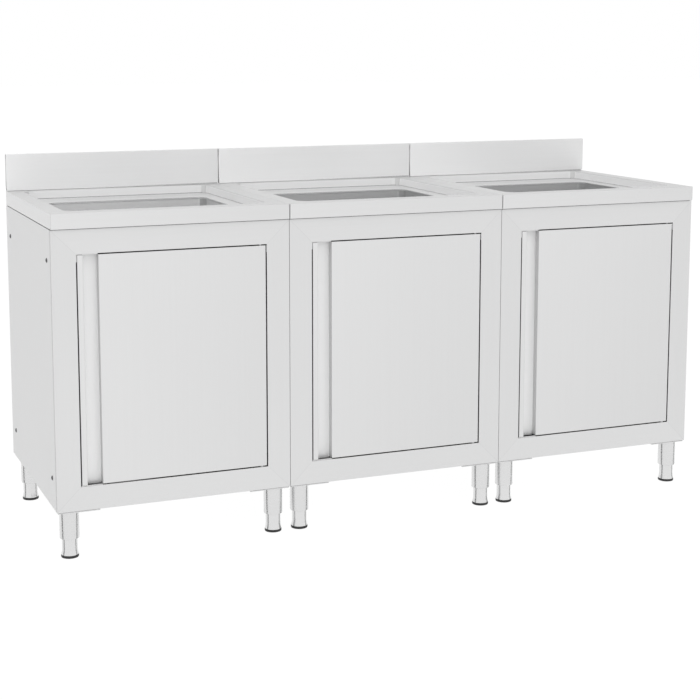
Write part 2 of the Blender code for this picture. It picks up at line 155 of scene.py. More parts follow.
FLOOR_DROP = 0.0005
FLOOR_SIZE = 40.0
KEY_SIZE = (3.0, 2.2)
KEY_ENERGY = 6.0
KEY_PLACE = (-0.8, -4.4, 3.6)
KEY_TARGET = (0.0, 0.0, 0.5)
FLAGS = (((-0.97, 0.24, 0.0), 0.11), ((1.0, 0.0, 0.0), 0.10))  # direction and half width
FLAG_DARKNESS = 0.92

# The camera stands to the left of the row and looks down on it a little, through a long lens.
CAMERA_PLACE = (-1.589, -3.795, 1.247)
CAMERA_YAW = 22.2  # degrees from +Y towards +X
CAMERA_PITCH = -7.66
CAMERA_LENS = 77.2
CAMERA_SHIFT = (0.0128, -0.150)


# ---- Meshes ------------------------------------------------------------------------------------
def add_looks(mesh, *looks):
    """More materials on a mesh. Gives the slot of each."""
    for look in looks:
        mesh.materials.append(MATERIALS[look])
    return {look: slot for slot, look in enumerate(looks, 1)}


def add_to_scene(name, data):
    obj = bpy.data.objects.new(name, data)
    bpy.context.scene.collection.objects.link(obj)
    return obj


def new_object(name, mesh, look, body=ROOT, place=None):
    """A new piece in the scene, with a material from MATERIALS, riding on its body."""
    obj = add_to_scene(name, mesh)
    if place is not None:
        obj.matrix_world = place
    if not mesh.materials:
        mesh.materials.append(MATERIALS[look])
    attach(obj, body)
    return obj


def mesh_from(bm, name, sharp_angle=35):
    mesh = bpy.data.meshes.new(name)
    bm.to_mesh(mesh)
    bm.free()
    mesh.shade_smooth()
    mesh.set_sharp_from_angle(angle=math.radians(sharp_angle))
    return mesh


def arc(radius, steps, first, last):
    """(cosine, sine) offsets along an arc, in degrees."""
    for step in range(steps + 1):
        angle = math.radians(first + (last - first) * step / steps)
        yield radius * math.cos(angle), radius * math.sin(angle)


def face_outward(bm):
    bmesh.ops.recalc_face_normals(bm, faces=bm.faces)


def add_band(bm, first, second):
    """Faces between two closed loops of points that run the same way round."""
    for i in range(len(first)):
        bm.faces.new((first[i - 1], first[i], second[i], second[i - 1]))


def fillet(points, radius, steps=BEND_STEPS):
    """An open 2D outline with every inner corner rounded to a radius."""
    rounded = [Vector(points[0])]
    for before, corner, after in zip(points, points[1:], points[2:]):
        before, corner, after = Vector(before), Vector(corner), Vector(after)
        way_in = (before - corner).normalized()
        way_out = (after - corner).normalized()
        half = way_in.angle(way_out) / 2
        reach = radius / math.tan(half)
        start = corner + way_in * reach
        end = corner + way_out * reach
        centre = corner + (way_in + way_out).normalized() * (radius / math.sin(half))
        for step in range(steps + 1):
            along = start.lerp(end, step / steps) - centre
            rounded.append(centre + along.normalized() * radius)
    rounded.append(Vector(points[-1]))
    return rounded


def rounded_ring(centre, width, length, radius, height):
    """The points of a rounded rectangle, anticlockwise, with the same number for any radius."""
    points = []
    for corner in range(4):
        sign_x = 1 if corner in (0, 3) else -1
        sign_y = 1 if corner in (0, 1) else -1
        arc_x = centre[0] + sign_x * (width / 2 - radius)
        arc_y = centre[1] + sign_y * (length / 2 - radius)
        for across, up in arc(radius, CORNER_STEPS, 90 * corner, 90 * corner + 90):
            points.append((arc_x + across, arc_y + up, height))
    return points


def lofted_shell(name, rings):
    """A sheet through closed rings, outermost first, with no thickness of its own."""
    bm = bmesh.new()
    loops = [[bm.verts.new(point) for point in ring] for ring in rings]
    for outer, inner in zip(loops, loops[1:]):
        add_band(bm, outer, inner)
    return mesh_from(bm, name, sharp_angle=50)


def add_thickness(obj, thickness=SHEET, even=True, inside=0):
    """Sheet thickness on the hidden side, with flat faces kept flat beside their rounded folds.

    inside is how many slots on from a face's own material its inner side's material is.
    """
    solidify = obj.modifiers.new("sheet", "SOLIDIFY")
    solidify.thickness = thickness
    solidify.offset = -1.0
    solidify.use_even_offset = even
    solidify.material_offset = inside
    weighted = obj.modifiers.new("flat_faces", "WEIGHTED_NORMAL")
    weighted.keep_sharp = True
    weighted.weight = 100


def add_bevel(obj, width):
    bevel = obj.modifiers.new("edges", "BEVEL")
    bevel.width = width
    bevel.segments = 2
    bevel.limit_method = "ANGLE"
    bevel.angle_limit = math.radians(40)
    bevel.use_clamp_overlap = True
    bevel.harden_normals = True


def turned_mesh(name, profile, place=(0.0, 0.0, 0.0), steps=TURNED_STEPS):
    """A piece turned about a vertical axis, from a closed or axis-ended (radius, height) line."""
    bm = bmesh.new()
    centre = Vector(place)
    rings = []
    for radius, height in profile:
        around = list(arc(radius, steps, 0, 360))[:-1] if radius else [(0.0, 0.0)]
        rings.append([bm.verts.new(centre + Vector((x, y, height))) for x, y in around])
    pairs = list(zip(rings, rings[1:]))
    if profile[0][0] > 0 and profile[-1][0] > 0:
        pairs.append((rings[-1], rings[0]))
    for upper, lower in pairs:
        for i in range(steps):
            before = (upper[(i - 1) % len(upper)], lower[(i - 1) % len(lower)])
            after = (lower[i % len(lower)], upper[i % len(upper)])
            face = list(dict.fromkeys(before + after))
            if len(face) > 2:
                bm.faces.new(face)
    face_outward(bm)
    return mesh_from(bm, name)


def rounded_box(name, low, high, radius):
    """A box between two corners with every edge rounded."""
    low, high = Vector(low), Vector(high)
    bm = bmesh.new()
    bmesh.ops.create_cube(bm, size=1.0)
    bmesh.ops.scale(bm, vec=high - low, verts=bm.verts)
    bmesh.ops.translate(bm, vec=(low + high) / 2, verts=bm.verts)
    bevel_edges(bm, bm.edges[:], radius, 2)
    return mesh_from(bm, name, sharp_angle=50)


def bevel_edges(bm, edges, radius, segments):
    bmesh.ops.bevel(
        bm, geom=edges, offset=radius, segments=segments, profile=0.5, affect="EDGES"
    )


def cut_away(mesh, cutter_mesh, name):
    """The mesh with the cutter taken out of it."""
    body = add_to_scene(name, mesh)
    cutter = add_to_scene(f"{name}_cutter", cutter_mesh)
    boolean = body.modifiers.new("cut", "BOOLEAN")
    boolean.operation = "DIFFERENCE"
    boolean.object = cutter
    graph = bpy.context.evaluated_depsgraph_get()
    result = bpy.data.meshes.new_from_object(body.evaluated_get(graph))
    for obj in (body, cutter):
        bpy.data.objects.remove(obj)
    result.name = name
    result.materials.clear()
    result.shade_smooth()
    result.set_sharp_from_angle(angle=math.radians(35))
    return result


# ---- Materials ---------------------------------------------------------------------------------
def node(tree, kind, settings=None, inputs=None):
    """A new node, with its settings, and with a value or a link for each named input."""
    made = tree.nodes.new(kind)
    for key, value in (settings or {}).items():
        setattr(made, key, value)
    for key, value in (inputs or {}).items():
        if isinstance(value, bpy.types.NodeSocket):
            tree.links.new(value, made.inputs[key])
        else:
            made.inputs[key].default_value = value
    return made


def maths(tree, operation, *values):
    made = node(tree, "ShaderNodeMath", {"operation": operation}, dict(enumerate(values)))
    return made.outputs[0]


def noise(tree, coordinates, scale, detail=2.0):
    """Noise with its own scale along X, Y and Z, as features per metre."""
    mapping = node(tree, "ShaderNodeMapping", None, {"Vector": coordinates, "Scale": scale})
    made = node(
        tree,
        "ShaderNodeTexNoise",
        None,
        {"Vector": mapping.outputs[0], "Scale": 1.0, "Detail": detail, "Roughness": 0.6},
    )
    return made.outputs[0]


def about_one(tree, value, amount):
    """A 0 to 1 value turned into a factor round 1."""
    return maths(tree, "MULTIPLY_ADD", value, amount, 1.0 - amount / 2)


def changed_by(tree, tone, value, amount, start=1.0):
    """The tone times a factor that is start where the value is 0."""
    return maths(tree, "MULTIPLY", tone, maths(tree, "MULTIPLY_ADD", value, amount, start))


def in_world(tree, vector):
    """A direction on the piece, turned with the piece."""
    settings = {"vector_type": "VECTOR", "convert_from": "OBJECT", "convert_to": "WORLD"}
    return node(tree, "ShaderNodeVectorTransform", settings, {"Vector": vector}).outputs[0]


def grain(tree, coordinates, axis, scale, detail=2.0):
    """Noise drawn out along one axis."""
    along, across = scale
    return noise(
        tree, coordinates, tuple(along if i == axis else across for i in range(3)), detail
    )


def either(tree, factor, first, second):
    return node(tree, "ShaderNodeMix", None, {0: factor, 2: first, 3: second}).outputs[0]


def material_base(name):
    material = bpy.data.materials.new(name)
    material.use_nodes = True
    tree = material.node_tree
    coordinates = node(tree, "ShaderNodeTexCoord").outputs["Object"]
    return material, tree, tree.nodes["Principled BSDF"], coordinates


def finish_material(tree, shader, tone, colour, rough, relief, depth, strength):
    """Base colour, roughness and bump from the grain's values."""
    scaled = node(
        tree, "ShaderNodeVectorMath", {"operation": "SCALE"}, {0: colour, "Scale": tone}
    )
    bump = node(
        tree,
        "ShaderNodeBump",
        None,
        {"Height": relief, "Distance": depth, "Strength": strength},
    )
    tree.links.new(scaled.outputs[0], shader.inputs["Base Color"])
    tree.links.new(rough, shader.inputs["Roughness"])
    tree.links.new(bump.outputs[0], shader.inputs["Normal"])


def mitre_mask(tree, coordinates, low, high):
    """1 on the rails of a mitred frame and 0 on its stiles."""
    split = node(tree, "ShaderNodeSeparateXYZ", None, {"Vector": coordinates})
    x, _, z = split.outputs
    wrapped = maths(tree, "WRAP", x, UNIT_PITCH / 2, -UNIT_PITCH / 2)
    from_side = maths(tree, "SUBTRACT", (high.x - low.x) / 2, maths(tree, "ABSOLUTE", wrapped))
    from_end = maths(
        tree,
        "MINIMUM",
        maths(tree, "SUBTRACT", z, low.z),
        maths(tree, "SUBTRACT", high.z, z),
    )
    return maths(tree, "LESS_THAN", from_end, from_side)


def steel(
    name,
    colour,
    roughness,
    axis,
    fade=0.0,
    rise=None,
    metallic=SATIN,
    mitred=None,
    gap_shade_behind=None,
    seam_shade_before=None,
):
    """Brushed sheet: fine scratches along one axis, wider bands, and slow cloudy changes.

    fade is the change of tone across a cabinet's width, painted shade that darkens it towards its
    right end, and rise is (change, low Z, high Z), painted light and shade up the height.
    mitred is the box of a frame whose rails have their grain along X instead, with rails and stiles
    painted a little apart in tone, for the light that glances off the two grains. Behind the Y
    given for the gaps the sheet is painted far darker, as the shade in the gaps round the door.
    Before the Y given for the seam, a strip along the front edge is painted darker, as the shadow
    line where a side panel meets the frame.
    """
    material, tree, shader, coordinates = material_base(name)
    shader.inputs["Metallic"].default_value = metallic
    shader.inputs["Anisotropic"].default_value = ANISOTROPY
    shader.inputs["Anisotropic Rotation"].default_value = 0.25
    tangent = node(tree, "ShaderNodeCombineXYZ", None, {axis: 1.0})

    fine = grain(tree, coordinates, axis, SCRATCHES)
    bands = grain(tree, coordinates, axis, BANDS, 3.0)
    if mitred:
        on_rails = mitre_mask(tree, coordinates, *mitred)
        fine = either(tree, on_rails, fine, grain(tree, coordinates, 0, SCRATCHES))
        bands = either(tree, on_rails, bands, grain(tree, coordinates, 0, BANDS, 3.0))
        tree.links.new(on_rails, tangent.inputs[0])
        tree.links.new(maths(tree, "SUBTRACT", 1.0, on_rails), tangent.inputs[axis])
    clouds = noise(tree, coordinates, (3.0, 3.0, 3.0), 3.0)
    tree.links.new(in_world(tree, tangent.outputs[0]), shader.inputs["Tangent"])

    tone = about_one(tree, fine, 0.05)
    tone = maths(tree, "MULTIPLY", tone, about_one(tree, bands, 0.035))
    tone = maths(tree, "MULTIPLY", tone, about_one(tree, clouds, 0.020))
    x, y, z = node(tree, "ShaderNodeSeparateXYZ", None, {"Vector": coordinates}).outputs
    # Painted shade: the tone darkens across each cabinet's width, towards its right end.
    if fade:
        across = maths(tree, "WRAP", x, UNIT_PITCH / 2, -UNIT_PITCH / 2)
        tone = changed_by(tree, tone, across, fade / UNIT_PITCH)
    # Painted light: the tone changes up the height, lighter towards the top on the door.
    if rise:
        change, low_z, high_z = rise
        up = maths(tree, "SUBTRACT", z, (low_z + high_z) / 2)
        tone = changed_by(tree, tone, up, change / (high_z - low_z))
    # Painted light: rails and stiles a little apart in tone, for the light off their grains.
    if mitred:
        tone = changed_by(tree, tone, on_rails, RAIL_CHANGE, STILE_TONE)
    # Painted shade: behind the frame's front, in the gaps round the door, the sheet is far darker.
    if gap_shade_behind is not None:
        behind = maths(tree, "GREATER_THAN", y, gap_shade_behind)
        tone = changed_by(tree, tone, behind, GAP_SHADE_CHANGE)
    # Painted shade: a darker strip along the front edge, as the shadow line at the seam with the
    # frame.
    if seam_shade_before is not None:
        tone = changed_by(tree, tone, maths(tree, "LESS_THAN", y, seam_shade_before), SEAM_SHADE_CHANGE)

    rough = maths(tree, "MULTIPLY_ADD", fine, 0.16, roughness - 0.08)
    rough = maths(tree, "MULTIPLY_ADD", bands, 0.06, maths(tree, "SUBTRACT", rough, 0.03))
    finish_material(tree, shader, tone, colour, rough, fine, RELIEF, 0.35)
    return material


def turned_steel(name, colour, roughness, ring_scale=900.0):
    """Steel with the fine rings that turning or drawing leaves round a vertical axis."""
    material, tree, shader, coordinates = material_base(name)
    shader.inputs["Metallic"].default_value = 1.0
    shader.inputs["Anisotropic"].default_value = ANISOTROPY
    axis = node(tree, "ShaderNodeCombineXYZ", None, {2: 1.0})
    tree.links.new(in_world(tree, axis.outputs[0]), shader.inputs["Tangent"])
    rings = noise(tree, coordinates, (25.0, 25.0, ring_scale))
    clouds = noise(tree, coordinates, (30.0, 30.0, 12.0), 3.0)
    tone = maths(
        tree, "MULTIPLY", about_one(tree, rings, 0.05), about_one(tree, clouds, 0.03)
    )
    rough = maths(tree, "MULTIPLY_ADD", rings, 0.12, roughness - 0.06)
    finish_material(tree, shader, tone, colour, rough, rings, RELIEF, 0.3)
    return material


def rubber(name, colour):
    """Moulded black rubber, with a fine pebbled surface and a little dust."""
    material, tree, shader, coordinates = material_base(name)
    shader.inputs["Metallic"].default_value = 0.0
    pebbles = noise(tree, coordinates, (1800.0, 1800.0, 1800.0), 3.0)
    dust = noise(tree, coordinates, (90.0, 90.0, 90.0), 4.0)
    tone = maths(tree, "MULTIPLY", about_one(tree, pebbles, 0.25), about_one(tree, dust, 0.5))
    rough = maths(tree, "MULTIPLY_ADD", dust, 0.2, 0.55)
    finish_material(tree, shader, tone, colour, rough, pebbles, 0.0001, 0.4)
    return material


def make_materials():
    """Every look by name. The numbers after a colour are roughness and the grain's axis."""
    frame_low, frame_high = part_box("unit2_front_frame")
    door_low, door_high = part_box("unit2_door")
    looks = {
        # The worktop and its rims take painted shade, darker towards each cabinet's right end.
        "worktop": steel("worktop_steel", STEEL, 0.42, 0, fade=-0.04),
        # Painted shade: the rims' top faces are darker than the band.
        "rim": steel("rim_painted_shade", (0.702, 0.703, 0.704), 0.42, 0, fade=-0.04),
        # Painted light: the recess's walls are paler and less metallic than the sheet, its right
        # end paler still.
        "recess": steel("recess_painted_light", (0.860, 0.861, 0.862), 0.45, 0, metallic=0.4),
        "recess_end": steel("recess_end_painted_light", (0.95, 0.951, 0.952), 0.45, 0, metallic=0.3),
        # Painted shade in the bowl's right-hand corners.
        "bowl_corner": steel("bowl_corner_painted_shade", (0.52, 0.521, 0.523), 0.38, 2),
        # Painted shade: near black for undersides, foot lines, door edges and the backsplash's
        # inside.
        "return": steel("return_painted_shade", (0.20, 0.20, 0.205), 0.50, 2),
        # The outer side panels take a painted shade strip along the front edge, at the seam with
        # the frame.
        "side": steel("side_steel", STEEL, 0.42, 2, seam_shade_before=frame_low.y + SEAM_SHADE_WIDTH),
        # Painted shade: the side panels between cabinets, seen only through the seams, are dark.
        "hidden": steel("hidden_painted_shade", (0.30, 0.30, 0.305), 0.45, 2),
        "inner": steel("inner_steel", INNER_STEEL, 0.36, 0),
        # The frame takes painted shade behind its front, in the gaps round the door, and painted
        # light that sets its rails and stiles a little apart.
        "frame": steel(
            "frame_steel",
            STEEL,
            0.42,
            2,
            mitred=(frame_low, frame_high),
            gap_shade_behind=frame_low.y + SHEET,
        ),
        # The door takes painted shade towards its right end and painted light towards its top.
        "door": steel(
            "door_steel", STEEL, 0.42, 2, fade=-0.05, rise=(0.03, door_low.z, door_high.z)
        ),
        # Painted light on the finger channel's floor, painted shade on its right wall.
        "channel": steel("channel_painted_light", (0.875, 0.876, 0.877), 0.45, 2, metallic=0.3),
        "channel_wall": steel(
            "channel_wall_painted_shade", (0.56, 0.561, 0.562), 0.45, 2, metallic=0.3
        ),
        "tab": steel("tab_steel", STEEL, 0.42, 0),
        # Painted light: the liner in the hinge corner's gap is paler than the sheet.
        "liner": steel("liner_painted_light", (0.90, 0.901, 0.902), 0.45, 2, metallic=0.3),
        "plate": steel("plate_steel", INNER_STEEL, 0.36, 0),
        "weld": steel("weld_steel", (0.66, 0.66, 0.665), 0.42, 0),
        "leg": turned_steel("leg_steel", STEEL, 0.26, ring_scale=250.0),
        "foot": turned_steel("foot_steel_look", (0.745, 0.746, 0.747), 0.24),
        "thread": turned_steel("thread_steel", (0.62, 0.62, 0.63), 0.30),
        "polished": turned_steel("drain_steel", (0.77, 0.77, 0.775), 0.14),
        "pin": turned_steel("pin_steel", (0.60, 0.60, 0.61), 0.28),
        "screw": turned_steel("screw_steel", (0.16, 0.16, 0.165), 0.38),
        "rubber": rubber("black_rubber_look", (0.022, 0.022, 0.023)),
        "seal": rubber("seal_rubber", (0.05, 0.05, 0.05)),
    }
    # Painted light and shade: each cabinet's bowl and backsplash take tones of their own.
    for number, unit in enumerate(UNITS):
        looks[f"{unit}_bowl"] = steel(f"bowl_painted_light_and_shade_{number + 1}", BOWL_TONES[number], 0.38, 0)
        # Painted light and shade: the backsplash's tone and its darkening towards the right end.
        colour, fade = BACKSPLASH_TONES[number]
        looks[f"{unit}_backsplash"] = steel(
            f"backsplash_painted_light_and_shade_{number + 1}", colour, 0.48, 0, fade=fade, metallic=0.40
        )
    return looks


# ---- Worktop and bowl --------------------------------------------------------------------------
def make_worktop(unit):
    """Folded edge band, flat rims, pressed recess, and the collar turned down into the bowl."""
    low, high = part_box(f"{unit}_worktop")
    bowl_low, bowl_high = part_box(f"{unit}_bowl")
    middle = ((low.x + high.x) / 2, (low.y + high.y) / 2)
    width, length = high.x - low.x, high.y - low.y
    top, bottom = high.z, low.z
    recess_floor = top - RECESS_DEPTH
    bowl_middle = (middle[0], (bowl_low.y + bowl_high.y) / 2)
    bowl_width = bowl_high.x - bowl_low.x - 2 * SHEET
    bowl_length = bowl_high.y - bowl_low.y - 2 * SHEET
    recess_middle = (middle[0], middle[1] + (RIM_FRONT - RIM_BACK) / 2)
    recess_width = UNIT_PITCH - 2 * RIM_SIDE
    recess_length = length - RIM_FRONT - RIM_BACK

    rings = []

    def add_ring(centre, sides, inset, corner, height):
        sides = (side - 2 * inset for side in sides)
        rings.append(rounded_ring(centre, *sides, corner, height))

    def outline(inset, height):
        corner = max(2 * FOLD - inset, 0.0008)
        add_ring(middle, (width, length), inset, corner, height)

    def recess(inset, height):
        sides = (recess_width, recess_length)
        add_ring(recess_middle, sides, inset, RECESS_CORNER - inset, height)

    def collar(flare, height):
        add_ring(bowl_middle, (bowl_width, bowl_length), -flare, BOWL_CORNER + flare, height)

    outline(WORKTOP_LIP, bottom)
    for across, up in arc(FOLD, BEND_STEPS, -90, 0):
        outline(FOLD - across, bottom + FOLD + up)
    for across, up in arc(FOLD, BEND_STEPS, 0, 90):
        outline(FOLD - across, top - FOLD + up)
    for across, up in arc(RECESS_EDGE, BEND_STEPS, 90, 0):
        recess(across - RECESS_EDGE, top - RECESS_EDGE + up)
    recess(RECESS_DRAFT, recess_floor + FOOT_GROOVE)
    recess(RECESS_DRAFT, recess_floor - FOOT_GROOVE)
    recess(RECESS_DRAFT + FOOT_GROOVE, recess_floor)
    collar(2.2 * COLLAR_RADIUS, recess_floor)
    for across, up in arc(COLLAR_RADIUS, 2 * BEND_STEPS, 90, 0):
        collar(COLLAR_RADIUS - across, recess_floor - COLLAR_RADIUS + up)
    collar(0.0, recess_floor - COLLAR_RADIUS - COLLAR_HEIGHT)

    mesh = lofted_shell("worktop_sheet", rings)
    piece = new_object(f"{unit}_worktop_sheet", mesh, "worktop")
    slots = add_looks(mesh, "recess", "return", "rim", "recess_end", "channel_wall")
    for face in mesh.polygons:
        at, way = face.center, face.normal
        in_foot_line = abs(at.z - recess_floor) < 0.8 * FOOT_GROOVE and abs(way.z) < 0.9
        inside_folds = (
            abs(at.x - middle[0]) < width / 2 - FOLD and abs(at.y - middle[1]) < length / 2 - FOLD
        )
        flat_wall = max(abs(way.x), abs(way.y)) > 0.88
        # Painted shade: the undersides and the recess's pressed foot line are near black, the right
        # wall's foot line mid grey.
        if way.z < -0.9 or in_foot_line:  # the right wall's foot line is less dark
            face.material_index = slots["channel_wall" if way.x < -0.6 else "return"]
        # Painted light on the recess's walls, paler still on its right end.
        elif recess_floor < at.z < top - RECESS_EDGE and inside_folds and flat_wall:
            at_right_end = at.x > bowl_high.x and abs(way.x) > 0.88
            face.material_index = slots["recess_end" if at_right_end else "recess"]
        # Painted shade: the flat tops of the rims take the darker rim steel.
        elif way.z > 0.9 and at.z > top - RECESS_EDGE:
            face.material_index = slots["rim"]
    add_thickness(piece)
    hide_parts(f"{unit}_worktop")


def make_bowl(unit):
    """Pressed bowl with rounded corners, and a floor that falls to the drain's seat."""
    low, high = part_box(f"{unit}_bowl")
    middle = ((low.x + high.x) / 2, (low.y + high.y) / 2)
    width, length = high.x - low.x - 2 * SHEET, high.y - low.y - 2 * SHEET
    seat = low.z + SHEET
    floor = seat + BOWL_FALL

    def outline(inset, height):
        return rounded_ring(middle, width - 2 * inset, length - 2 * inset, BOWL_CORNER, height)

    rings = [outline(0.0, high.z)]
    for across, down in arc(BOWL_FLOOR_RADIUS, 2 * BEND_STEPS, 0, 90):
        inset = BOWL_TAPER + BOWL_FLOOR_RADIUS - across
        rings.append(outline(inset, floor + BOWL_FLOOR_RADIUS - down))
    for radius, height in (
        (DRAIN_SEAT_RADIUS + 0.006, seat + 0.0020),
        (DRAIN_SEAT_RADIUS + 0.002, seat + 0.0008),
        (DRAIN_SEAT_RADIUS - 0.001, seat),
        (DRAIN_HOLE_RADIUS, seat),
    ):
        rings.append(rounded_ring(middle, 2 * radius, 2 * radius, radius, height))
    piece = new_object(
        f"{unit}_bowl_pressing", lofted_shell("bowl_pressing", rings), f"{unit}_bowl"
    )
    # Painted shade: the faces in the bowl's right-hand corners take a darker steel.
    slots = add_looks(piece.data, "bowl_corner")
    for face in piece.data.polygons:
        from_middle = face.center - Vector((*middle, 0.0))
        at_right = from_middle.x > width / 2 - 0.7 * BOWL_CORNER
        if at_right and abs(from_middle.y) > length / 2 - 0.9 * BOWL_CORNER:
            face.material_index = slots["bowl_corner"]
    add_thickness(piece)
    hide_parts(f"{unit}_bowl")


# ---- Drain -------------------------------------------------------------------------------------
def make_drain(unit):
    """Strainer body, its perforated grid, the seal under the bowl and the locknut on the tail."""
    low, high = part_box(f"{unit}_drain")
    place = ((low.x + high.x) / 2, (low.y + high.y) / 2, 0.0)
    flange = (high.x - low.x) / 2
    neck = DRAIN_HOLE_RADIUS - 0.0015
    wall = 0.002
    seat = high.z - 0.0020
    inner = neck - wall
    body = [
        (inner, seat - 0.004),
        (inner + 0.0006, seat - 0.0014),
        (inner + 0.0020, seat - 0.0002),
        (inner + 0.0050, seat + 0.0010),
        (flange - 0.0046, seat + 0.0020),
        (flange - 0.0022, seat + 0.0018),
        (flange - 0.0006, seat + 0.0010),
        (flange, seat + 0.0002),
        (flange, seat),
        (neck, seat),
        (neck, low.z + 0.0006),
        (neck - 0.0006, low.z),
        (inner, low.z),
    ]
    mesh = turned_mesh("drain_body", body, place)
    piece = new_object(f"{unit}_drain_body", mesh, "polished")
    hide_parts(f"{unit}_drain")

    bowl_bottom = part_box(f"{unit}_bowl")[0].z
    seal = [
        (neck + FIT, bowl_bottom - FIT),
        (flange - 0.001, bowl_bottom - FIT),
        (flange, bowl_bottom - 0.0013),
        (flange - 0.001, bowl_bottom - 0.0033),
        (neck + FIT, bowl_bottom - 0.0033),
    ]
    mesh = turned_mesh("drain_seal", seal, place)
    new_object(f"{unit}_drain_seal", mesh, "seal")
    make_locknut(unit, place, neck, flange, bowl_bottom - 0.0036)
    make_strainer_grid(unit, place, inner, seat)


def make_locknut(unit, place, neck, flange, top):
    """A ring with six lugs, which holds the drain in the bowl from below."""
    bm = bmesh.new()
    bottom, edge = top - 0.009, 0.0008
    lugs, steps = 6, 12
    count = lugs * steps
    turns = [2 * math.pi * i / count for i in range(count)]
    lugged = [flange - (0.001 if i % steps < steps // 3 else 0.005) for i in range(count)]
    bore = [neck + 2 * FIT] * count
    rings = []
    for radii, change, level in (
        (lugged, -edge, top),
        (lugged, 0.0, top - edge),
        (lugged, 0.0, bottom),
        (bore, 0.0, bottom),
        (bore, 0.0, top),
    ):
        ring = []
        for radius, turn in zip(radii, turns):
            x = place[0] + (radius + change) * math.cos(turn)
            y = place[1] + (radius + change) * math.sin(turn)
            ring.append(bm.verts.new((x, y, level)))
        rings.append(ring)
    for upper, lower in zip(rings, rings[1:] + rings[:1]):
        for i in range(count):
            bm.faces.new((upper[i - 1], lower[i - 1], lower[i], upper[i]))
    face_outward(bm)
    mesh = mesh_from(bm, "drain_locknut")
    new_object(f"{unit}_drain_locknut", mesh, "pin")


def make_strainer_grid(unit, place, inner, seat):
    """A dished plate with two rings of holes, pressed into the drain's throat."""
    edge, thickness, hole_radius = inner - FIT, 0.0012, 0.0021
    level = seat - 0.0045
    disc = [
        (0.0, level - 0.0030),
        (0.6 * edge, level - 0.0026),
        (0.9 * edge, level - 0.0008),
        (edge, level),
        (edge, level - thickness),
        (0.9 * edge, level - 0.0008 - thickness),
        (0.6 * edge, level - 0.0026 - thickness),
        (0.0, level - 0.0030 - thickness),
    ]
    holes = bmesh.new()
    for count, radius in ((1, 0.0), (6, 0.36 * edge), (12, 0.70 * edge)):
        for i in range(count):
            turn = 2 * math.pi * i / count
            x = place[0] + radius * math.cos(turn)
            y = place[1] + radius * math.sin(turn)
            bmesh.ops.create_cone(
                holes,
                cap_ends=True,
                segments=16,
                radius1=hole_radius,
                radius2=hole_radius,
                depth=0.02,
                matrix=Matrix.Translation((x, y, level)),
            )
    mesh = cut_away(
        turned_mesh("grid", disc, place), mesh_from(holes, "grid_holes"), f"{unit}_grid"
    )
    new_object(f"{unit}_drain_grid", mesh, "polished")


# ---- Backsplash --------------------------------------------------------------------------------
def make_backsplash(unit):
    """A folded box that stands off the worktop a little more towards its right end.

    Its back has the plainer inner finish, and its inside is painted near black, as shade.
    """
    low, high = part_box(f"{unit}_backsplash")
    bm = bmesh.new()
    corners = [
        bm.verts.new((x, y, z))
        for z in (low.z, high.z)
        for x, y in ((low.x, low.y), (high.x, low.y), (high.x, high.y), (low.x, high.y))
    ]
    corners[0].co.z += BACKSPLASH_LEFT_JOINT
    corners[1].co.z += BACKSPLASH_RIGHT_JOINT
    # Known fault: at i = 0 the corner before is taken from the upper four, where (i - 1) % 4 would
    # be right. The left end's face crosses itself, which leaves that end partly open.
    for i in range(4):
        bm.faces.new((corners[i - 1], corners[i], corners[i + 4], corners[i - 1 + 4]))
    bm.faces.new(corners[4:])
    face_outward(bm)
    bevel_edges(bm, [e for e in bm.edges if len(e.link_faces) == 2], FOLD, BEND_STEPS)
    mesh = mesh_from(bm, "backsplash_box", sharp_angle=50)
    piece = new_object(f"{unit}_backsplash_box", mesh, f"{unit}_backsplash")
    slots = add_looks(mesh, "inner", "return")
    for face in mesh.polygons:
        if face.normal.y > 0.9:
            face.material_index = slots["inner"]
    # Painted shade: the sheet's inner side is near black.
    add_thickness(piece, inside=slots["return"])
    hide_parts(f"{unit}_backsplash")


